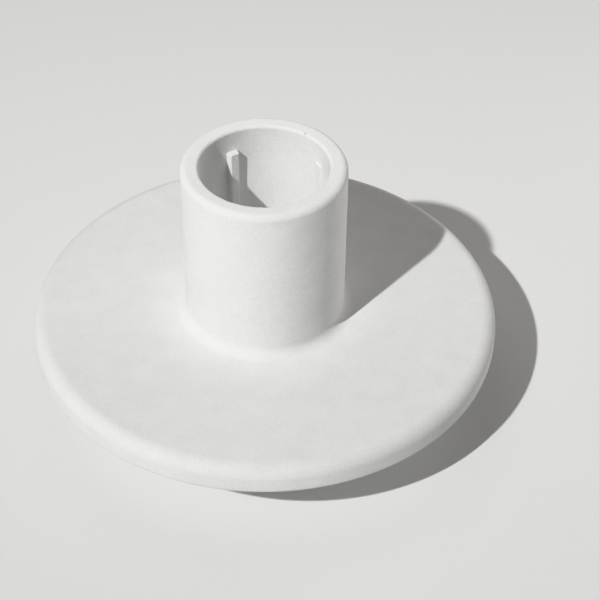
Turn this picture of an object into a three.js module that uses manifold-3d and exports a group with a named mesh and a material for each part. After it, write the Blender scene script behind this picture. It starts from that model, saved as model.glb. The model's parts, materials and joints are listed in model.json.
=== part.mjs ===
// A low candlestick: a thick round dish on a hidden foot, with a ribbed cup for one taper candle.
// Millimetres, +Z up. The origin is the middle of the felt pad's underside, on the table.
import * as THREE from "three";
import { mergeVertices } from "three/addons/utils/BufferGeometryUtils.js";
import Module from "manifold-3d";

// Dish
const DISH_DIAMETER = 95;
const DISH_THICKNESS = 6.4; // at the rim
const DISH_RIM_ROUND = 2; // both edges of the rim
const DISH_RISE = 1.6; // how far the top climbs from the rim to the cup
const CUP_FILLET = 1; // between the dish's top and the cup

// Cup
const CUP_DIAMETER = 32.6; // outside, at the lip
const CUP_RISE = 35.2; // lip above the dish's rim
const CUP_DRAFT = 0.2; // degrees, narrower towards the dish
const LIP_OUTER_ROUND = 1.1;
const LIP_INNER_ROUND = 0.9;
const BORE_DIAMETER = 25.5; // at the lip
const BORE_DRAFT = 1.2; // degrees, narrower towards the floor
const BORE_DEPTH = 28;
const BORE_FLOOR_ROUND = 1.2;
const CUP_FLOOR = 3.6; // metal between the bore and the tapped hole

// Grip ribs
const RIB_COUNT = 4;
const RIB_CIRCLE = 22.6; // across the rib noses: a 22 mm candle slides between them
const RIB_WIDTH = 1.8; // across the nose
const RIB_FLARE = 14; // degrees that each flank leans outwards from nose to root
const RIB_NOSE_ROUND = 0.2;
const RIB_DROP = 4.8; // rib tops below the lip
const RIB_FIRST_ANGLE = 32; // degrees from +X
const RIB_ROOT = 0.8; // how far a rib is sunk into the wall and the floor that it grows from

// Foot and pad
const FOOT_DIAMETER = 64;
const FOOT_HEIGHT = 12.6;
const FOOT_EDGE = 0.8; // chamfer on both edges
const FOOT_PILOT = 2; // boss that enters the dish's hole
const FOOT_LIP = 2.7; // ring of the foot left round the pad
const PAD_THICKNESS = 1.5;
const PAD_PROUD = 0.7; // what shows of the pad below the foot

// Screw joint
const SPIGOT_DIAMETER = 18; // shared by the cup's spigot and the foot's pilot
const SPIGOT_GAP = 0.6; // between spigot and pilot, so that the collar carries the clamping
const SCREW_DIAMETER = 6;
const SCREW_TIP_GAP = 2; // left at the end of the tapped hole
const HEAD_DIAMETER = 10;
const HEAD_HEIGHT = 3.8;
const SOCKET_WIDTH = 4; // across flats
const SOCKET_DEPTH = 2.2;
const WASHER_DIAMETER = 12;
const WASHER_THICKNESS = 1.4;
const HEAD_SINK = 0.6; // screw head above the pad

const FIT = 0.3; // radial clearance of every pin in its hole

// Facets
const ROUND_STEPS = 72; // large turned pieces
const SMALL_STEPS = 36; // screw and washer
const ARC_STEPS = 5; // quarter of a rounded edge

// Levels worked out from the table upwards
const footUnderside = PAD_PROUD;
const padSeat = PAD_THICKNESS;
const headUnderside = padSeat + HEAD_SINK;
const headSeat = headUnderside + HEAD_HEIGHT;
const washerSeat = headSeat + WASHER_THICKNESS;
const dishUnderside = footUnderside + FOOT_HEIGHT;
const pilotTop = dishUnderside + FOOT_PILOT;
const dishEdge = dishUnderside + DISH_THICKNESS;
const lip = dishEdge + CUP_RISE;
const boreFloor = lip - BORE_DEPTH;
const threadEnd = boreFloor - CUP_FLOOR;
const spigotEnd = pilotTop + SPIGOT_GAP;

// Radii
const dishRadius = DISH_DIAMETER / 2;
const rimRound = Math.min(DISH_RIM_ROUND, DISH_THICKNESS / 2);
const edgeRadius = dishRadius - rimRound;
const lipRadius = CUP_DIAMETER / 2;
const boreRadius = BORE_DIAMETER / 2;
const lipShare = Math.min(1, (lipRadius - boreRadius) / (LIP_OUTER_ROUND + LIP_INNER_ROUND));
const lipOuterRound = LIP_OUTER_ROUND * lipShare; // the lip's two rounds share its wall
const lipInnerRound = LIP_INNER_ROUND * lipShare;
const footRadius = FOOT_DIAMETER / 2;
const recessRadius = footRadius - FOOT_LIP;
const padRadius = recessRadius - FIT;
const spigotRadius = SPIGOT_DIAMETER / 2;
const spigotHole = spigotRadius + FIT;
const screwRadius = SCREW_DIAMETER / 2;
const screwHole = screwRadius + FIT;
const cupSlope = Math.tan(THREE.MathUtils.degToRad(CUP_DRAFT));
const boreSlope = Math.tan(THREE.MathUtils.degToRad(BORE_DRAFT));

// The top of the dish is a shallow cone that climbs from the rim to the cup.
const dishTop = (radius) => dishEdge + (DISH_RISE * (edgeRadius - radius)) / (edgeRadius - lipRadius);
const cupOutside = (height) => lipRadius - (lip - height) * cupSlope;
const boreInside = (height) => boreRadius - (lip - height) * boreSlope;

// The collar's top, where the fillet has become the cup's wall.
const collarTop = dishTop(lipRadius + CUP_FILLET) + CUP_FILLET;
const collarRadius = cupOutside(collarTop);
const filletFoot = collarRadius + CUP_FILLET;

// Points of a round edge about a centre, from one angle to another in degrees.
function arc(centreX, centreY, radius, from, to) {
  return Array.from({ length: ARC_STEPS + 1 }, (_, i) => {
    const angle = THREE.MathUtils.degToRad(from + ((to - from) * i) / ARC_STEPS);
    return [centreX + radius * Math.cos(angle), centreY + radius * Math.sin(angle)];
  });
}

// Turns a profile of [radius, height] points about Z.
function turn(points, steps = ROUND_STEPS) {
  const profile = points.map(([radius, height]) => new THREE.Vector2(radius, height));
  return new THREE.LatheGeometry(profile, steps).rotateX(Math.PI / 2);
}

// A closed ring's profile ends where it started.
const ring = (points, steps) => turn([...points, points[0]], steps);

const wasm = await Module();
wasm.setup();

function toSolid(geometry) {
  const plain = geometry.clone();
  plain.deleteAttribute("normal");
  plain.deleteAttribute("uv");
  const merged = mergeVertices(plain, 1e-4);
  return new wasm.Manifold(
    new wasm.Mesh({
      numProp: 3,
      vertProperties: new Float32Array(merged.attributes.position.array),
      triVerts: new Uint32Array(merged.index.array),
    }),
  );
}

function toGeometry(solid) {
  const mesh = solid.getMesh();
  const geometry = new THREE.BufferGeometry();
  geometry.setAttribute("position", new THREE.BufferAttribute(mesh.vertProperties, 3));
  geometry.setIndex(new THREE.BufferAttribute(mesh.triVerts, 1));
  geometry.computeVertexNormals();
  return geometry;
}

// The dish: underside, rounded rim, sloping top, fillet and collar, round the hole for the spigot.
function dripDish() {
  const lowEdge = dishUnderside + rimRound;
  const highEdge = dishEdge - rimRound;
  return ring([
    [spigotHole, dishUnderside],
    ...arc(edgeRadius, lowEdge, rimRound, -90, 0),
    ...arc(edgeRadius, highEdge, rimRound, 0, 90),
    ...arc(filletFoot, collarTop, CUP_FILLET, 270, 180),
    [spigotHole, collarTop],
  ]);
}

// One grip rib: a flared bar with a rounded nose, upright on +X, rooted in the wall and the floor of the bore.
function gripRib() {
  const nose = RIB_CIRCLE / 2;
  const root = boreRadius + RIB_ROOT;
  const flare = THREE.MathUtils.degToRad(RIB_FLARE);
  const rootHalf = RIB_WIDTH / 2 + (root - nose) * Math.tan(flare);
  const roundX = nose + RIB_NOSE_ROUND;
  const roundY = RIB_WIDTH / 2 - (RIB_NOSE_ROUND * (1 - Math.sin(flare))) / Math.cos(flare); // touches the flank
  const section = new THREE.Shape();
  section.moveTo(root, -rootHalf);
  section.lineTo(root, rootHalf);
  section.absarc(roundX, roundY, RIB_NOSE_ROUND, Math.PI / 2 + flare, Math.PI);
  section.absarc(roundX, -roundY, RIB_NOSE_ROUND, Math.PI, 1.5 * Math.PI - flare);
  section.closePath();
  const foot = boreFloor - RIB_ROOT;
  const depth = lip - RIB_DROP - foot;
  return new THREE.ExtrudeGeometry(section, { depth, bevelEnabled: false, curveSegments: 3 }).translate(0, 0, foot);
}

// The cup: tapped spigot, drafted outside, rounded lip and bore, with the ribs grown from its wall.
function candleCup() {
  const lipOuter = [lipRadius - lipOuterRound, lip - lipOuterRound];
  const lipInner = [boreRadius + lipInnerRound, lip - lipInnerRound];
  const floorEdge = boreFloor + BORE_FLOOR_ROUND;
  const floorRadius = boreInside(floorEdge);
  const body = turn([
    [0, threadEnd],
    [screwHole, threadEnd],
    [screwHole, spigotEnd],
    [spigotRadius, spigotEnd],
    [spigotRadius, collarTop],
    [collarRadius, collarTop],
    ...arc(...lipOuter, lipOuterRound, -CUP_DRAFT, 90),
    ...arc(...lipInner, lipInnerRound, 90, 180 + BORE_DRAFT),
    ...arc(floorRadius - BORE_FLOOR_ROUND, floorEdge, BORE_FLOOR_ROUND, 0, -90),
    [0, boreFloor],
  ]);
  let cup = toSolid(body);
  for (let i = 0; i < RIB_COUNT; i++) {
    const angle = THREE.MathUtils.degToRad(RIB_FIRST_ANGLE + (360 * i) / RIB_COUNT);
    cup = cup.add(toSolid(gripRib().rotateZ(angle)));
  }
  return toGeometry(cup);
}

// The foot: chamfered disc with a pilot on top, and a counterbore and a pad recess below.
function weightedFoot() {
  const counterbore = Math.max(WASHER_DIAMETER, HEAD_DIAMETER) / 2 + FIT;
  return ring([
    [recessRadius, footUnderside],
    [footRadius - FOOT_EDGE, footUnderside],
    [footRadius, footUnderside + FOOT_EDGE],
    [footRadius, dishUnderside - FOOT_EDGE],
    [footRadius - FOOT_EDGE, dishUnderside],
    [spigotRadius, dishUnderside],
    [spigotRadius, pilotTop],
    [screwHole, pilotTop],
    [screwHole, washerSeat],
    [counterbore, washerSeat],
    [counterbore, padSeat],
    [recessRadius, padSeat],
  ]);
}

function feltPad() {
  return turn([
    [0, 0],
    [padRadius, 0],
    [padRadius, padSeat],
    [0, padSeat],
  ]);
}

// The screw: low round head with a hexagon socket from below, and its shank up to the tapped hole's end.
function clampScrew() {
  const head = HEAD_DIAMETER / 2;
  const body = turn(
    [
      [0, headUnderside],
      [head, headUnderside],
      [head, headSeat],
      [screwRadius, headSeat],
      [screwRadius, threadEnd - SCREW_TIP_GAP],
      [0, threadEnd - SCREW_TIP_GAP],
    ],
    SMALL_STEPS,
  );
  const corner = SOCKET_WIDTH / Math.sqrt(3);
  const socket = new THREE.CylinderGeometry(corner, corner, 2 * SOCKET_DEPTH, 6)
    .rotateX(Math.PI / 2)
    .translate(0, 0, headUnderside);
  return toGeometry(toSolid(body).subtract(toSolid(socket)));
}

function clampWasher() {
  const outside = WASHER_DIAMETER / 2;
  return ring(
    [
      [screwHole, headSeat],
      [outside, headSeat],
      [outside, washerSeat],
      [screwHole, washerSeat],
    ],
    SMALL_STEPS,
  );
}

const coating = { color: "#e9e8e5", roughness: 0.85, metalness: 0 };
const plating = { color: "#b4b7ba", roughness: 0.35, metalness: 1 };
const felt = { color: "#8d8a84", roughness: 1, metalness: 0 };

function piece(name, geometry, finish) {
  const mesh = new THREE.Mesh(geometry, new THREE.MeshStandardMaterial(finish));
  mesh.name = name;
  return mesh;
}

const candlestick = new THREE.Group();
candlestick.add(
  piece("candle_cup", candleCup(), coating),
  piece("drip_dish", dripDish(), coating),
  piece("weighted_foot", weightedFoot(), coating),
  piece("clamp_screw", clampScrew(), plating),
  piece("clamp_washer", clampWasher(), plating),
  piece("felt_pad", feltPad(), felt),
);

export default candlestick;
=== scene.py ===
"""A low white candlestick: a thick drip dish on a hidden foot, with a ribbed cup for one taper candle.

Laid out as an add-on: every piece has its own operator, and main() calls them in order around the frame.
Lengths are in metres, +Z is up, and the table is at height zero.
"""

import json
import math

import bmesh
import bpy
from bpy.props import FloatProperty, FloatVectorProperty, IntProperty, PointerProperty
from mathutils import Euler, Matrix, Vector, noise

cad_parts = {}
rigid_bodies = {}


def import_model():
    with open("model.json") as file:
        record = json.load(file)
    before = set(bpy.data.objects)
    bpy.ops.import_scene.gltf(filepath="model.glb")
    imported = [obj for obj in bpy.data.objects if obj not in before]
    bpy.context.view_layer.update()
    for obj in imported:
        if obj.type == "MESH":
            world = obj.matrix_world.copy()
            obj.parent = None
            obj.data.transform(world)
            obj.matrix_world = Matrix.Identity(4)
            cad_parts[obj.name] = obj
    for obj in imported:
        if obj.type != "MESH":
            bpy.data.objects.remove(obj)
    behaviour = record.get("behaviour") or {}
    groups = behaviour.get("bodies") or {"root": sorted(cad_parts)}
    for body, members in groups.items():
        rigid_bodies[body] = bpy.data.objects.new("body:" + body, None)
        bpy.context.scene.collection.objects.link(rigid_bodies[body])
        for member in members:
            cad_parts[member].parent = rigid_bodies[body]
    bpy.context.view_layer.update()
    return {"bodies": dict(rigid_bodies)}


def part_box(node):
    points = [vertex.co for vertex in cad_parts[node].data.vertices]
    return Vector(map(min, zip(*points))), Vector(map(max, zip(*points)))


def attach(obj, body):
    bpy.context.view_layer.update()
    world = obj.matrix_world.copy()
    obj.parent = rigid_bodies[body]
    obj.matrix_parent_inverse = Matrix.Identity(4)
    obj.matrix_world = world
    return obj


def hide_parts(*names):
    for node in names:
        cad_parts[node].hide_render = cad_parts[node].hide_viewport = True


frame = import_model()

bl_info = {
    "name": "Low candlestick",
    "version": (1, 0, 0),
    "blender": (4, 5, 0),
    "location": "3D View > Sidebar > Candlestick",
    "description": "Makes a low white candlestick piece by piece, and a stage to show it on",
    "category": "Add Mesh",
}

(BODY,) = frame["bodies"]  # nothing moves, so every piece rides on the one body
CUP_LOW, CUP_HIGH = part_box("candle_cup")
DISH_LOW, DISH_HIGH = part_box("drip_dish")
FOOT_LOW, FOOT_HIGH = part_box("weighted_foot")
PAD_LOW, PAD_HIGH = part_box("felt_pad")
SCREW_LOW, SCREW_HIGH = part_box("clamp_screw")
WASHER_LOW, WASHER_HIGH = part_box("clamp_washer")

MM = 0.001
FULL_TURN = 2 * math.pi
TURN_STEPS = 192  # facets round a turned piece
THREAD_STEPS = 36  # facets round one turn of the thread
TOP_RINGS = 8  # rings across the dish's top
ROUND_SEGMENTS = 10  # facets across a rounded edge
SOFT_SEGMENTS = 3  # facets across an edge that is only broken
NEAR = 0.01 * MM  # within this, a vertex lies on a ring
MERGED = NEAR / 10  # within this, two vertices are one
CLEAR = 1.5  # the dish's top has no ring within this many radii of a rounded edge
NOISE_LOW, NOISE_HIGH = 0.3, 0.7  # nearly all of a noise texture lies between these
PINHOLE_CORE = 0.6  # share of a pinhole's radius that is fully dark
THREAD_DEPTH = 0.61  # of the pitch, as on a metric thread
SHARP_ANGLE = math.radians(35)  # edges that turn by more stay crisp


def linear(hex_colour):
    """An sRGB hex colour such as "#e5e5e4" as linear red, green and blue."""
    shares = [int(hex_colour[i : i + 2], 16) / 255 for i in (1, 3, 5)]
    return tuple(s / 12.92 if s <= 0.04045 else ((s + 0.055) / 1.055) ** 2.4 for s in shares)


def length(name, millimetres, description):
    """A length that can be changed in the panel, given in millimetres."""
    return FloatProperty(
        name=name,
        description=description,
        default=millimetres * MM,
        min=0,
        precision=5,
        unit="LENGTH",
        subtype="DISTANCE",
    )


def place(name, millimetres, description):
    """A place that can be changed in the panel, given in millimetres."""
    return FloatVectorProperty(
        name=name,
        description=description,
        default=[distance * MM for distance in millimetres],
        precision=4,
        unit="LENGTH",
        subtype="TRANSLATION",
    )


def angle(name, degrees, description):
    """An angle that can be changed in the panel, given in degrees."""
    return FloatProperty(name=name, description=description, default=math.radians(degrees), subtype="ANGLE")


def colour(name, hex_colour, description):
    """A colour that can be changed in the panel, given as an sRGB hex value."""
    return FloatVectorProperty(
        name=name, description=description, default=linear(hex_colour), min=0, max=1, subtype="COLOR"
    )


def number(name, value, description):
    """A plain number that can be changed in the panel."""
    return FloatProperty(name=name, description=description, default=value, min=0)


class CandlestickSizes(bpy.types.PropertyGroup):
    """Sizes that the frame's boxes don't give"""

    dish_thickness: length("Dish thickness", 6.4, "Underside to the top of the rim")
    rim_round: length("Rim round", 2.8, "Radius on the upper edge of the dish's rim")
    rim_under_round: length("Lower rim round", 1.3, "Radius on the lower edge of the dish's rim")
    dish_hollow: length("Dish hollow", 0.2, "How far the top sinks from the rim's upper edge to the cup")
    fillet: length("Fillet", 2.2, "Radius between the dish's top and the cup")
    cup_draft: angle("Cup draft", 0.2, "How far the cup's outside leans outwards")
    lip_outer_round: length("Outer lip round", 1.35, "Radius on the outside of the lip")
    lip_inner_round: length("Inner lip round", 0.65, "Radius on the bore's side of the lip")
    lip_chips: length("Lip chips", 0.07, "How far the inner edge of the lip strays where it is chipped")
    chip_length: length("Chip length", 0.9, "Along the lip, from one chip to the next")
    nick_depth: length("Nick depth", 0.45, "The nick in the inner edge of the lip")
    nick_width: length("Nick width", 0.35, "The nick, along the lip")
    nick_length: length("Nick length", 1.6, "The nick, across the lip's inner edge")
    nick_angle: angle("Nick", 52.6, "The nick, turned from +X")
    bore_radius: length("Bore radius", 12.75, "Radius of the bore at the lip")
    bore_draft: angle("Bore draft", 1.2, "How far the bore narrows towards its floor")
    bore_depth: length("Bore depth", 28, "Lip to the floor of the bore")
    floor_round: length("Bore floor round", 1.2, "Radius between the bore's wall and floor")
    cup_floor: length("Cup floor", 3.6, "Metal between the bore and the tapped hole")
    rib_count: IntProperty(name="Ribs", description="Grip ribs in the bore", default=4, min=0)
    rib_reach: length("Rib reach", 11.3, "Rib noses from the cup's axis")
    rib_width: length("Rib width", 1.8, "Across a rib's nose")
    rib_flare: angle("Rib flare", 14, "How far each flank of a rib leans outwards from nose to root")
    rib_drop: length("Rib drop", 4.8, "Rib tops below the lip")
    rib_root: length("Rib root", 0.8, "How far a rib is sunk into the wall and the floor")
    rib_round: length("Rib round", 0.2, "Radius on the two edges of a rib's nose")
    rib_top_round: length("Rib top round", 0.15, "Broken edge round a rib's top")
    rib_wear: length("Rib wear", 0.95, "How far the nose of the first rib is worn back")
    rib_angle: angle("First rib", 32, "The first rib, turned from +X")
    spigot_radius: length("Spigot radius", 9, "The cup's spigot and the foot's pilot")
    screw_radius: length("Screw radius", 3, "Over the thread's crests")
    thread_pitch: length("Thread pitch", 1, "From one crest to the next")
    socket_width: length("Socket width", 4, "The screw's hexagon socket, across flats")
    socket_depth: length("Socket depth", 2.2, "The screw's hexagon socket")
    foot_edge: length("Foot edge", 0.8, "Radius on both edges of the foot")
    foot_lip: length("Foot lip", 2.7, "Ring of the foot left round the pad")
    broken_edge: length("Broken edge", 0.25, "Edges of the screw, the washer and hidden seats")
    felt_edge: length("Felt edge", 0.35, "Radius on the cut edge of the felt")
    felt_waver: length("Felt waver", 0.1, "How far the felt's cut edge strays")
    waver_length: length("Waver length", 2, "Along the felt's edge, from one stray to the next")
    fit: length("Fit", 0.3, "Radial clearance of every pin in its hole")


class CandlestickFinishes(bpy.types.PropertyGroup):
    """Colours and patterns of the finishes"""

    # One white coat in two copies. The cup's is lighter, painted light for the stronger light on lip and
    # bore; the dish's and foot's is greyer, painted shade.
    coat_with_painted_light: colour("Cup coat", "#eaeae9", "Matt white powder coat on the cup")
    coat_with_painted_shade: colour("Dish coat", "#e0e0df", "Matt white powder coat on dish and foot, a shade greyer")
    # Painted light: how far the cup's lighter white reaches out over the dish
    painted_light_fade: length("Coat fade", 11, "From the cup to where the dish has its own white")
    grain: length("Grain", 0.4, "Width of the coat's grains")
    grain_depth: length("Grain depth", 0.022, "Height of the coat's grains")
    grain_fleck: number("Grain fleck", 0.054, "How much darker or lighter the grains look")
    mottle: length("Mottle", 5, "Width of the faint clouds in the coat")
    mottle_depth: number("Mottle depth", 0.025, "How much darker or lighter the clouds are")
    speck: length("Speck", 0.22, "Radius of the coat's pinholes")
    speck_gap: length("Speck gap", 5, "Usual distance between pinholes")
    # Painted shade: a pinhole has no relief here, so the shade in the tiny hole is drawn darker
    pinhole_painted_shade: number("Speck depth", 0.12, "How much darker a pinhole is")
    zinc: colour("Zinc", "#b9bcc0", "Bright zinc plating")
    zinc_mark: length("Zinc mark", 0.6, "Length of the turning marks under the zinc")
    zinc_mark_depth: length("Zinc mark depth", 0.004, "Depth of the turning marks")
    zinc_cloud: length("Zinc cloud", 2, "Width of the zinc's dull patches")
    felt: colour("Felt", "#8d8a84", "Grey wool felt")
    fibre: length("Fibre", 0.5, "Width of the felt's fibre bundles")
    fibre_depth: length("Fibre depth", 0.15, "Height of the felt's nap")


class CandlestickStage(bpy.types.PropertyGroup):
    """Floor, light and camera"""

    floor: colour("Floor", "#e6e6e5", "Plain pale floor")
    floor_side: length("Floor side", 4000, "Side of the square floor")
    floor_grain: length("Floor grain", 1.2, "Width of the paint's roller grain")
    light: colour("Light", "#ffffff", "Colour of the main light")
    soft: colour("Soft light", "#fffdf9", "Colour of the soft boxes and of the light from all round")
    main_place: place("Main light", (-1134, -1370, 1798), "The small main light, in front on the left")
    main_side: length("Main light side", 52, "Side of the main light, which softens shadow edges")
    main_power: number("Main light power", 56.4, "Watts of the main light")
    sky_strength: number("Sky strength", 0.08, "Strength of the light from all round")
    backdrop: number("Backdrop", 0.2, "How bright the surroundings look past the end of the floor")
    top_place: place("Top box", (-15, 60, 190), "Soft box over the cup")
    top_side: length("Top box side", 150, "Side of the soft box over the cup")
    top_power: number("Top box power", 0.051, "Watts of the soft box over the cup")
    back_place: place("Back box", (520, 470, 150), "Soft box behind, on the right")
    back_side: length("Back box side", 400, "Side of the soft box behind")
    back_power: number("Back box power", 1.25, "Watts of the soft box behind")
    right_place: place("Right box", (188, 68, 50), "Low soft box beside the dish, on the right")
    right_side: length("Right box side", 80, "Side of the soft box on the right")
    right_power: number("Right box power", 0.028, "Watts of the soft box on the right")
    camera_place: place("Camera place", (7.17, -262.27, 252.01), "Where the camera stands")
    camera_pitch: angle("Camera pitch", 41.466, "How far the camera looks down, facing +Y")
    camera_roll: angle("Camera roll", 0.6, "How far the camera leans to its left")
    camera_lens: number("Camera lens", 102, "Focal length in millimetres on a 36 mm sensor")
    shoulder: number("Shoulder", 0.8, "Brightness above which the highlights roll off")
    shoulder_end: number("Shoulder end", 0.9, "Brightness that full white rolls off to")


# Shapes


def chain(bm, points):
    """Vertices at (radius, height) points in the XZ plane, joined in a row by edges."""
    verts = [bm.verts.new((radius, 0, height)) for radius, height in points]
    edges = [bm.edges.new(pair) for pair in zip(verts, verts[1:])]
    return verts, edges


def turned(points, closed=False):
    """A solid turned about Z from an outline that starts and ends on the axis, or closes on itself."""
    bm = bmesh.new()
    verts, edges = chain(bm, points)
    if closed:
        edges.append(bm.edges.new((verts[-1], verts[0])))
    bmesh.ops.spin(
        bm,
        geom=verts + edges,
        cent=(0, 0, 0),
        axis=(0, 0, 1),
        angle=FULL_TURN,
        steps=TURN_STEPS,
        use_merge=True,
    )
    return tidied(bm)


def tidied(bm):
    """Merges doubles and turns the faces outwards."""
    bmesh.ops.remove_doubles(bm, verts=bm.verts, dist=MERGED)
    bmesh.ops.recalc_face_normals(bm, faces=bm.faces)
    return bm


def round_edges(bm, edges, size, segments):
    """Rounds the edges with arcs."""
    bmesh.ops.bevel(
        bm,
        geom=edges,
        offset=size,
        offset_type="OFFSET",
        affect="EDGES",
        segments=segments,
        profile=0.5,
        material=-1,
        clamp_overlap=True,
    )


def round_ring(bm, radius, height, size, segments=ROUND_SEGMENTS):
    """Rounds the ring of edges that lies at that radius and height."""

    def on_ring(vert):
        return abs(vert.co.xy.length - radius) < NEAR and abs(vert.co.z - height) < NEAR

    ring = [edge for edge in bm.edges if all(map(on_ring, edge.verts))]
    round_edges(bm, ring, size, segments)


def new_object(bm, name):
    """Links a new object that holds the bmesh, which is freed."""
    mesh = bpy.data.meshes.new(name)
    bm.to_mesh(mesh)
    bm.free()
    made = bpy.data.objects.new(name, mesh)
    bpy.context.scene.collection.objects.link(made)
    return made


def combined(body, tool, operation):
    """The body with the tool joined to it or cut from it. Both bmeshes are used up."""
    body_object = new_object(body, "body")
    tool_object = new_object(tool, "tool")
    modifier = body_object.modifiers.new("Combine", "BOOLEAN")
    modifier.operation = operation
    modifier.solver = "EXACT"
    modifier.object = tool_object
    result = body_object.evaluated_get(bpy.context.evaluated_depsgraph_get()).to_mesh()
    bm = bmesh.new()
    bm.from_mesh(result)
    for used in (body_object, tool_object):
        bpy.data.meshes.remove(used.data)
    return tidied(bm)


def shown(bm, name, node, material):
    """Makes the bmesh a piece of the candlestick, in place of a node of the frame."""
    piece = new_object(bm, name)
    piece.data.shade_smooth()
    piece.data.set_sharp_from_angle(angle=SHARP_ANGLE)
    piece.data.materials.append(material)
    even = piece.modifiers.new("Even shading", "WEIGHTED_NORMAL")
    even.keep_sharp = True
    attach(piece, BODY)
    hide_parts(node)
    return piece


# Finishes


def add_node(tree, kind, inputs=None, **settings):
    """Adds a node with its settings. An input is a value, or another node's output to link."""
    made = tree.nodes.new(kind)
    for name, value in settings.items():
        setattr(made, name, value)
    for name, value in (inputs or {}).items():
        if isinstance(value, bpy.types.NodeSocket):
            tree.links.new(value, made.inputs[name])
        else:
            made.inputs[name].default_value = value
    return made


def new_material(name):
    """An empty material, with its node tree and the point on the surface that its patterns read."""
    material = bpy.data.materials.new(name)
    material.use_nodes = True
    tree = material.node_tree
    tree.nodes.clear()
    point = add_node(tree, "ShaderNodeTexCoord").outputs["Object"]
    return material, tree, point


def powder_coat(name, finishes, white, painted_light_inside=None):
    """Baked powder coat: matt and nearly even, with a fine sandy grain, faint clouds and a few pinholes.

    The grains are drawn coarser than real ones and flecked, because their relief alone is too fine to show.
    Where a second white is given, the coat passes into it towards the cup, as painted light thrown by the
    cup; no step shows there.
    """
    material, tree, point = new_material(name)
    base = (*white, 1)
    # Painted light: the white grows lighter towards the cup, for the light that the cup throws onto the dish
    if painted_light_inside:
        level = add_node(tree, "ShaderNodeMapping", {"Vector": point, "Scale": (1, 1, 0)})
        radius = add_node(tree, "ShaderNodeVectorMath", {0: level.outputs["Vector"]}, operation="LENGTH")
        share = add_node(
            tree,
            "ShaderNodeMapRange",
            {
                "Value": radius.outputs["Value"],
                "From Min": CUP_HIGH.x,
                "From Max": CUP_HIGH.x + finishes.painted_light_fade,
            },
            interpolation_type="SMOOTHSTEP",
        )
        painted_light_blend = add_node(
            tree,
            "ShaderNodeMix",
            {0: share.outputs["Result"], 6: (*painted_light_inside, 1), 7: base},  # factor, then the two colours
            data_type="RGBA",
        )
        base = painted_light_blend.outputs[2]  # the mixed colour
    grains = add_node(
        tree,
        "ShaderNodeTexNoise",
        {"Vector": point, "Scale": 1 / finishes.grain, "Detail": 3, "Roughness": 0.6},
    )
    clouds = add_node(
        tree, "ShaderNodeTexNoise", {"Vector": point, "Scale": 1 / finishes.mottle, "Detail": 4}
    )
    # Pinholes, drawn darker as painted shade
    specks = add_node(tree, "ShaderNodeTexVoronoi", {"Vector": point, "Scale": 1 / finishes.speck_gap})
    cloudiness = finishes.mottle_depth
    pinhole = finishes.speck / finishes.speck_gap
    shade = 1
    for pattern, low, high, dark, light in (
        (clouds.outputs["Fac"], NOISE_LOW, NOISE_HIGH, 1 - cloudiness, 1 + cloudiness),
        (grains.outputs["Fac"], NOISE_LOW, NOISE_HIGH, 1 - finishes.grain_fleck, 1 + finishes.grain_fleck),
        (specks.outputs["Distance"], PINHOLE_CORE * pinhole, pinhole, 1 - finishes.pinhole_painted_shade, 1),
    ):
        part = add_node(
            tree,
            "ShaderNodeMapRange",
            {"Value": pattern, "From Min": low, "From Max": high, "To Min": dark, "To Max": light},
        )
        product = add_node(
            tree, "ShaderNodeMath", {0: shade, 1: part.outputs["Result"]}, operation="MULTIPLY"
        )
        shade = product.outputs["Value"]
    tint = add_node(tree, "ShaderNodeHueSaturation", {"Color": base, "Value": shade})
    bump = add_node(
        tree, "ShaderNodeBump", {"Height": grains.outputs["Fac"], "Distance": finishes.grain_depth}
    )
    coat = add_node(
        tree,
        "ShaderNodeBsdfPrincipled",
        {
            "Base Color": tint.outputs["Color"],
            "Roughness": 0.8,
            "IOR": 1.5,
            "Specular IOR Level": 0.3,
            "Normal": bump.outputs["Normal"],
        },
    )
    add_node(tree, "ShaderNodeOutputMaterial", {"Surface": coat.outputs["BSDF"]})
    return material


def zinc_plate(name, finishes):
    """Bright zinc plate on steel: cool grey metal with fine turning marks and cloudy dull patches."""
    material, tree, point = new_material(name)
    # Drawn short in height, so that the marks run round
    stretch = add_node(tree, "ShaderNodeMapping", {"Vector": point, "Scale": (1, 1, 12)})
    marks = add_node(
        tree, "ShaderNodeTexNoise", {"Vector": stretch.outputs["Vector"], "Scale": 1 / finishes.zinc_mark}
    )
    clouds = add_node(
        tree, "ShaderNodeTexNoise", {"Vector": point, "Scale": 1 / finishes.zinc_cloud, "Detail": 4}
    )
    dullness = add_node(
        tree, "ShaderNodeMapRange", {"Value": clouds.outputs["Fac"], "To Min": 0.25, "To Max": 0.5}
    )
    bump = add_node(
        tree, "ShaderNodeBump", {"Height": marks.outputs["Fac"], "Distance": finishes.zinc_mark_depth}
    )
    plate = add_node(
        tree,
        "ShaderNodeBsdfPrincipled",
        {
            "Base Color": (*finishes.zinc, 1),
            "Metallic": 1,
            "Roughness": dullness.outputs["Result"],
            "Normal": bump.outputs["Normal"],
        },
    )
    add_node(tree, "ShaderNodeOutputMaterial", {"Surface": plate.outputs["BSDF"]})
    return material


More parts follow.
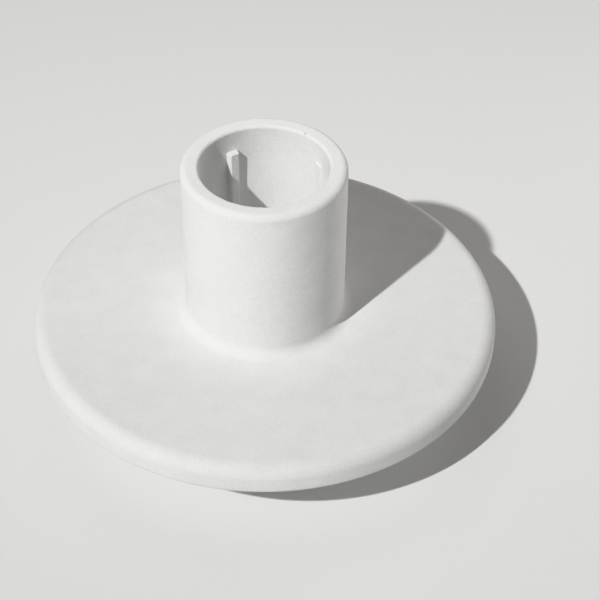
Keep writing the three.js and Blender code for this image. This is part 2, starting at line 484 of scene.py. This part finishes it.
def wool_felt(name, finishes):
    """Pressed wool felt: a dull matted nap, flecked where lighter and darker fibres cross."""
    material, tree, point = new_material(name)
    fibres = add_node(
        tree,
        "ShaderNodeTexNoise",
        {"Vector": point, "Scale": 1 / finishes.fibre, "Detail": 6, "Roughness": 0.7, "Distortion": 1.5},
    )
    fleck = add_node(
        tree,
        "ShaderNodeMapRange",
        {
            "Value": fibres.outputs["Fac"],
            "From Min": NOISE_LOW,
            "From Max": NOISE_HIGH,
            "To Min": 0.7,
            "To Max": 1.25,
        },
    )
    tint = add_node(
        tree, "ShaderNodeHueSaturation", {"Color": (*finishes.felt, 1), "Value": fleck.outputs["Result"]}
    )
    bump = add_node(
        tree, "ShaderNodeBump", {"Height": fibres.outputs["Fac"], "Distance": finishes.fibre_depth}
    )
    nap = add_node(
        tree,
        "ShaderNodeBsdfPrincipled",
        {
            "Base Color": tint.outputs["Color"],
            "Roughness": 1,
            "Specular IOR Level": 0.1,
            "Sheen Weight": 0.3,
            "Normal": bump.outputs["Normal"],
        },
    )
    add_node(tree, "ShaderNodeOutputMaterial", {"Surface": nap.outputs["BSDF"]})
    return material


def painted_board(name, stage):
    """Board under dull white paint: flat and even, with the faintest roller grain."""
    material, tree, point = new_material(name)
    grain = add_node(
        tree, "ShaderNodeTexNoise", {"Vector": point, "Scale": 1 / stage.floor_grain, "Detail": 3}
    )
    shade = add_node(
        tree, "ShaderNodeMapRange", {"Value": grain.outputs["Fac"], "To Min": 0.99, "To Max": 1.01}
    )
    tint = add_node(
        tree, "ShaderNodeHueSaturation", {"Color": (*stage.floor, 1), "Value": shade.outputs["Result"]}
    )
    paint = add_node(
        tree, "ShaderNodeBsdfPrincipled", {"Base Color": tint.outputs["Color"], "Roughness": 0.9}
    )
    add_node(tree, "ShaderNodeOutputMaterial", {"Surface": paint.outputs["BSDF"]})
    return material


# Operators


def collar_radius(sizes):
    """The cup's outside where it stands on the dish's collar."""
    return CUP_HIGH.x - (CUP_HIGH.z - DISH_HIGH.z) * math.tan(sizes.cup_draft)


class CANDLESTICK_OT_cup(bpy.types.Operator):
    """Makes the cast cup: a tapped spigot, a rounded lip and a bore with grip ribs"""

    bl_idname = "candlestick.cup"
    bl_label = "Cup"

    def execute(self, context):
        sizes = context.scene.candlestick_sizes
        lip = CUP_HIGH.z
        floor = lip - sizes.bore_depth
        floor_radius = sizes.bore_radius - sizes.bore_depth * math.tan(sizes.bore_draft)
        tapped_end = floor - sizes.cup_floor
        tapped_radius = sizes.screw_radius + sizes.fit
        cup = turned(
            [
                (0, tapped_end),
                (tapped_radius, tapped_end),
                (tapped_radius, CUP_LOW.z),
                (sizes.spigot_radius, CUP_LOW.z),
                (sizes.spigot_radius, DISH_HIGH.z),
                (collar_radius(sizes), DISH_HIGH.z),
                (CUP_HIGH.x, lip),
                (sizes.bore_radius, lip),
                (floor_radius, floor),
                (0, floor),
            ]
        )
        round_ring(cup, CUP_HIGH.x, lip, sizes.lip_outer_round)
        round_ring(cup, sizes.bore_radius, lip, sizes.lip_inner_round)
        round_ring(cup, floor_radius, floor, sizes.floor_round)
        round_ring(cup, sizes.spigot_radius, CUP_LOW.z, sizes.broken_edge, SOFT_SEGMENTS)
        self.chip(cup, sizes, lip)
        for i in range(sizes.rib_count):
            nose = sizes.rib_reach if i else sizes.rib_reach + sizes.rib_wear
            rib = self.rib(sizes, nose, floor - sizes.rib_root, lip - sizes.rib_drop)
            turn = Matrix.Rotation(sizes.rib_angle + i * FULL_TURN / sizes.rib_count, 4, "Z")
            bmesh.ops.transform(rib, matrix=turn, verts=rib.verts)
            cup = combined(cup, rib, "UNION")
        cup = combined(cup, self.nick(sizes, lip), "DIFFERENCE")
        finishes = context.scene.candlestick_finishes
        # The cup takes the lighter copy of the white: painted light
        coat = powder_coat("powder_coated_cast_aluminium_cup", finishes, finishes.coat_with_painted_light)
        shown(cup, "coated_cup", "candle_cup", coat)
        return {"FINISHED"}

    def rib(self, sizes, nose, low, high):
        """One rib: an upright flared bar on +X with a rounded nose and a broken edge round its top."""
        root = sizes.bore_radius + sizes.rib_root
        reach = root - nose
        bm = bmesh.new()
        bmesh.ops.create_cube(bm, size=1)
        bmesh.ops.scale(bm, vec=(reach, sizes.rib_width, high - low), verts=bm.verts)
        bmesh.ops.translate(bm, vec=(root - reach / 2, 0, (low + high) / 2), verts=bm.verts)
        root_verts = [vert for vert in bm.verts if abs(vert.co.x - root) < NEAR]
        flare = 1 + 2 * reach * math.tan(sizes.rib_flare) / sizes.rib_width
        bmesh.ops.scale(bm, vec=(1, flare, 1), verts=root_verts)
        front = [edge for edge in bm.edges if all(abs(vert.co.x - nose) < NEAR for vert in edge.verts)]
        upright = [edge for edge in front if abs(edge.verts[0].co.z - edge.verts[1].co.z) > NEAR]
        round_edges(bm, upright, sizes.rib_round, SOFT_SEGMENTS)
        top = max(bm.faces, key=lambda face: face.calc_center_median().z)
        round_edges(bm, list(top.edges), sizes.rib_top_round, SOFT_SEGMENTS)
        return bm

    def chip(self, cup, sizes, lip):
        """Lets the inner edge of the lip stray a little, as a chipped coat does."""
        reach = 1.1 * sizes.lip_inner_round  # just past the round on either side
        for vert in cup.verts:
            inside = abs(vert.co.xy.length - sizes.bore_radius) < reach
            if inside and vert.co.z > lip - reach:
                vert.co.z += noise.noise(vert.co / sizes.chip_length) * sizes.lip_chips - sizes.lip_chips

    def nick(self, sizes, lip):
        """The wedge that is cut from the inner edge of the lip."""
        bm = bmesh.new()
        bmesh.ops.create_cube(bm, size=1)
        bmesh.ops.scale(bm, vec=(sizes.nick_length, sizes.nick_width, 2 * sizes.nick_depth), verts=bm.verts)
        bmesh.ops.translate(bm, vec=(sizes.bore_radius, 0, lip), verts=bm.verts)
        turn = Matrix.Rotation(sizes.nick_angle, 4, "Z")
        bmesh.ops.transform(bm, matrix=turn, verts=bm.verts)
        return bm


class CANDLESTICK_OT_dish(bpy.types.Operator):
    """Makes the cast drip dish: a rounded rim, a slightly hollow top, and a fillet up to the cup"""

    bl_idname = "candlestick.dish"
    bl_label = "Dish"

    def execute(self, context):
        sizes = context.scene.candlestick_sizes
        rim = DISH_HIGH.x
        edge = DISH_LOW.z + sizes.dish_thickness
        collar = collar_radius(sizes)
        hole = sizes.spigot_radius + sizes.fit
        base = edge - sizes.dish_hollow
        first_ring = rim - CLEAR * sizes.rim_round
        step = (first_ring - collar - CLEAR * sizes.fillet) / (TOP_RINGS - 1)
        rings = [first_ring - i * step for i in range(TOP_RINGS)]

        def top(radius):
            return base + (edge - base) * (radius - collar) / (rim - collar)

        dish = turned(
            [
                (hole, DISH_LOW.z),
                (rim, DISH_LOW.z),
                (rim, edge),
                *((radius, top(radius)) for radius in rings),
                (collar, base),
                (collar, DISH_HIGH.z),
                (hole, DISH_HIGH.z),
            ],
            closed=True,
        )
        round_ring(dish, rim, DISH_LOW.z, sizes.rim_under_round)
        round_ring(dish, rim, edge, sizes.rim_round)
        round_ring(dish, collar, base, sizes.fillet)
        round_ring(dish, hole, DISH_LOW.z, sizes.broken_edge, SOFT_SEGMENTS)
        finishes = context.scene.candlestick_finishes
        # The dish's white grows lighter towards the cup: painted light
        coat = powder_coat(
            "powder_coated_cast_aluminium_dish", finishes, finishes.coat_with_painted_shade, painted_light_inside=finishes.coat_with_painted_light
        )
        shown(dish, "coated_dish", "drip_dish", coat)
        return {"FINISHED"}


class CANDLESTICK_OT_foot(bpy.types.Operator):
    """Makes the turned foot: a pilot on top, a counterbore and a pad recess below"""

    bl_idname = "candlestick.foot"
    bl_label = "Foot"

    def execute(self, context):
        sizes = context.scene.candlestick_sizes
        outside = FOOT_HIGH.x
        recess = outside - sizes.foot_lip
        counterbore = WASHER_HIGH.x + sizes.fit
        screw_hole = sizes.screw_radius + sizes.fit
        foot = turned(
            [
                (recess, FOOT_LOW.z),
                (outside, FOOT_LOW.z),
                (outside, DISH_LOW.z),
                (sizes.spigot_radius, DISH_LOW.z),
                (sizes.spigot_radius, FOOT_HIGH.z),
                (screw_hole, FOOT_HIGH.z),
                (screw_hole, WASHER_HIGH.z),
                (counterbore, WASHER_HIGH.z),
                (counterbore, PAD_HIGH.z),
                (recess, PAD_HIGH.z),
            ],
            closed=True,
        )
        round_ring(foot, outside, FOOT_LOW.z, sizes.foot_edge)
        round_ring(foot, outside, DISH_LOW.z, sizes.foot_edge)
        round_ring(foot, recess, FOOT_LOW.z, sizes.broken_edge, SOFT_SEGMENTS)
        round_ring(foot, counterbore, PAD_HIGH.z, sizes.broken_edge, SOFT_SEGMENTS)
        round_ring(foot, sizes.spigot_radius, FOOT_HIGH.z, sizes.broken_edge, SOFT_SEGMENTS)
        finishes = context.scene.candlestick_finishes
        coat = powder_coat("powder_coated_steel", finishes, finishes.coat_with_painted_shade)
        shown(foot, "coated_foot", "weighted_foot", coat)
        return {"FINISHED"}


class CANDLESTICK_OT_screw(bpy.types.Operator):
    """Makes the low-headed screw: a hexagon socket below and a helical thread above"""

    bl_idname = "candlestick.screw"
    bl_label = "Screw"

    def execute(self, context):
        sizes = context.scene.candlestick_sizes
        head = SCREW_HIGH.x
        seat = WASHER_LOW.z
        screw = turned([(0, SCREW_LOW.z), (head, SCREW_LOW.z), (head, seat), (0, seat)])
        round_ring(screw, head, SCREW_LOW.z, sizes.broken_edge, SOFT_SEGMENTS)
        round_ring(screw, head, seat, sizes.broken_edge, SOFT_SEGMENTS)
        screw = combined(screw, self.socket(sizes), "DIFFERENCE")
        screw = combined(screw, self.thread(sizes, seat - sizes.broken_edge, SCREW_HIGH.z), "UNION")
        plate = zinc_plate("zinc_plated_steel_screw", context.scene.candlestick_finishes)
        shown(screw, "socket_screw", "clamp_screw", plate)
        return {"FINISHED"}

    def socket(self, sizes):
        """The hexagon that is cut from the head, from its underside up."""
        bm = bmesh.new()
        corner = sizes.socket_width / math.sqrt(3)
        bmesh.ops.create_cone(
            bm, cap_ends=True, segments=6, radius1=corner, radius2=corner, depth=2 * sizes.socket_depth
        )
        bmesh.ops.translate(bm, vec=(0, 0, SCREW_LOW.z), verts=bm.verts)
        return tidied(bm)

    def thread(self, sizes, low, high):
        """A threaded rod: one pitch of the thread's outline, spun upwards and cut level at both ends."""
        pitch = sizes.thread_pitch
        crest = sizes.screw_radius
        root = crest - THREAD_DEPTH * pitch
        start = low - pitch
        turns = math.ceil((high - start) / pitch) + 1
        bm = bmesh.new()
        outline = [(root, 0), (root, 0.25), (crest, 0.56), (crest, 0.69), (root, 1)]
        verts, edges = chain(bm, [(radius, start + share * pitch) for radius, share in outline])
        bmesh.ops.spin(
            bm,
            geom=verts + edges,
            cent=(0, 0, 0),
            axis=(0, 0, 1),
            dvec=(0, 0, pitch / THREAD_STEPS),
            angle=turns * FULL_TURN,
            steps=turns * THREAD_STEPS,
        )
        bmesh.ops.remove_doubles(bm, verts=bm.verts, dist=NEAR)
        for level, side in ((low, -1), (high, 1)):
            everything = bm.verts[:] + bm.edges[:] + bm.faces[:]
            bmesh.ops.bisect_plane(
                bm, geom=everything, plane_co=(0, 0, level), plane_no=(0, 0, side), clear_outer=True
            )
        bmesh.ops.holes_fill(bm, edges=[edge for edge in bm.edges if edge.is_boundary], sides=0)
        return tidied(bm)


class CANDLESTICK_OT_washer(bpy.types.Operator):
    """Makes the plain washer under the screw's head"""

    bl_idname = "candlestick.washer"
    bl_label = "Washer"

    def execute(self, context):
        sizes = context.scene.candlestick_sizes
        hole = sizes.screw_radius + sizes.fit
        outside = WASHER_HIGH.x
        washer = turned(
            [
                (hole, WASHER_LOW.z),
                (outside, WASHER_LOW.z),
                (outside, WASHER_HIGH.z),
                (hole, WASHER_HIGH.z),
            ],
            closed=True,
        )
        for radius in (hole, outside):
            for height in (WASHER_LOW.z, WASHER_HIGH.z):
                round_ring(washer, radius, height, sizes.broken_edge, SOFT_SEGMENTS)
        plate = zinc_plate("zinc_plated_steel_washer", context.scene.candlestick_finishes)
        shown(washer, "plain_washer", "clamp_washer", plate)
        return {"FINISHED"}


class CANDLESTICK_OT_pad(bpy.types.Operator):
    """Makes the felt disc under the foot, with a soft cut edge"""

    bl_idname = "candlestick.pad"
    bl_label = "Felt pad"

    def execute(self, context):
        sizes = context.scene.candlestick_sizes
        radius = PAD_HIGH.x - sizes.felt_waver
        pad = turned([(0, PAD_LOW.z), (radius, PAD_LOW.z), (radius, PAD_HIGH.z), (0, PAD_HIGH.z)])
        for height in (PAD_LOW.z, PAD_HIGH.z):
            round_ring(pad, radius, height, sizes.felt_edge, SOFT_SEGMENTS)
        for vert in pad.verts:
            if vert.co.xy.length > radius / 2:
                stray = noise.noise(vert.co / sizes.waver_length) * sizes.felt_waver
                vert.co.xy += vert.co.xy.normalized() * stray
        felt = wool_felt("pressed_wool_felt", context.scene.candlestick_finishes)
        disc = shown(pad, "felt_disc", "felt_pad", felt)
        return {"FINISHED"}


class CANDLESTICK_OT_stage(bpy.types.Operator):
    """Makes the floor, the light and the camera"""

    bl_idname = "candlestick.stage"
    bl_label = "Stage"

    def execute(self, context):
        scene = context.scene
        stage = scene.candlestick_stage
        bm = bmesh.new()
        bmesh.ops.create_grid(bm, x_segments=1, y_segments=1, size=stage.floor_side / 2)
        floor = new_object(bm, "floor")
        floor.data.materials.append(painted_board("painted_board", stage))

        aim = Vector((0, 0, DISH_HIGH.z))
        for name in ("main", "top", "back", "right"):
            lamp = bpy.data.objects.new(f"{name}_light", bpy.data.lights.new(f"{name}_light", "AREA"))
            lamp.data.color = stage.light if name == "main" else stage.soft
            lamp.data.energy = getattr(stage, f"{name}_power")
            lamp.data.size = getattr(stage, f"{name}_side")
            lamp.location = getattr(stage, f"{name}_place")
            lamp.rotation_euler = (aim - lamp.location).to_track_quat("-Z", "Y").to_euler()
            scene.collection.objects.link(lamp)

        scene.world = self.sky(stage)

        camera_data = bpy.data.cameras.new("camera")
        camera_data.lens = stage.camera_lens
        camera = bpy.data.objects.new("camera", camera_data)
        camera.location = stage.camera_place
        aimed = Euler((math.pi / 2 - stage.camera_pitch, 0, 0))
        aimed.rotate_axis("Z", stage.camera_roll)
        camera.rotation_euler = aimed
        scene.collection.objects.link(camera)
        scene.camera = camera
        view = scene.view_settings
        view.view_transform = "Standard"
        view.use_curve_mapping = True
        tones = view.curve_mapping.curves[3]  # for all three colours together
        tones.points[-1].location = (1, stage.shoulder_end)
        for level in (stage.shoulder, stage.shoulder / 2):  # hardly anything changes below the shoulder
            tones.points.new(level, level)
        view.curve_mapping.update()
        return {"FINISHED"}

    def sky(self, stage):
        """Dim light from all round, which is seen as a paler backdrop past the end of the floor."""
        world = bpy.data.worlds.new("soft_sky")
        world.use_nodes = True
        tree = world.node_tree
        tree.nodes.clear()
        tone = (*stage.soft, 1)
        given = add_node(tree, "ShaderNodeBackground", {"Color": tone, "Strength": stage.sky_strength})
        seen = add_node(tree, "ShaderNodeBackground", {"Color": tone, "Strength": stage.backdrop})
        rays = add_node(tree, "ShaderNodeLightPath")
        both = add_node(
            tree,
            "ShaderNodeMixShader",
            {0: rays.outputs["Is Camera Ray"], 1: given.outputs["Background"], 2: seen.outputs["Background"]},
        )
        add_node(tree, "ShaderNodeOutputWorld", {"Surface": both.outputs["Shader"]})
        return world


OPERATORS = (
    CANDLESTICK_OT_cup,
    CANDLESTICK_OT_dish,
    CANDLESTICK_OT_foot,
    CANDLESTICK_OT_screw,
    CANDLESTICK_OT_washer,
    CANDLESTICK_OT_pad,
    CANDLESTICK_OT_stage,
)
GROUPS = {
    "candlestick_sizes": CandlestickSizes,
    "candlestick_finishes": CandlestickFinishes,
    "candlestick_stage": CandlestickStage,
}


class CANDLESTICK_PT_sidebar(bpy.types.Panel):
    """Lists the pieces, and what can be changed before they are made"""

    bl_idname = "CANDLESTICK_PT_sidebar"
    bl_label = "Low candlestick"
    bl_space_type = "VIEW_3D"
    bl_region_type = "UI"
    bl_category = "Candlestick"

    def draw(self, context):
        for operator in OPERATORS:
            self.layout.operator(operator.bl_idname)
        for group_name, group in GROUPS.items():
            box = self.layout.box()
            for property_name in group.__annotations__:
                box.prop(getattr(context.scene, group_name), property_name)


def register():
    for made in (*GROUPS.values(), *OPERATORS, CANDLESTICK_PT_sidebar):
        bpy.utils.register_class(made)
    for name, group in GROUPS.items():
        setattr(bpy.types.Scene, name, PointerProperty(type=group))


def unregister():
    for name in GROUPS:
        delattr(bpy.types.Scene, name)
    for made in (CANDLESTICK_PT_sidebar, *reversed(OPERATORS), *GROUPS.values()):
        bpy.utils.unregister_class(made)


def main():
    register()
    bpy.ops.candlestick.stage()
    bpy.ops.candlestick.cup()
    bpy.ops.candlestick.dish()
    bpy.ops.candlestick.foot()
    bpy.ops.candlestick.screw()
    bpy.ops.candlestick.washer()
    bpy.ops.candlestick.pad()


if __name__ == "__main__":
    main()
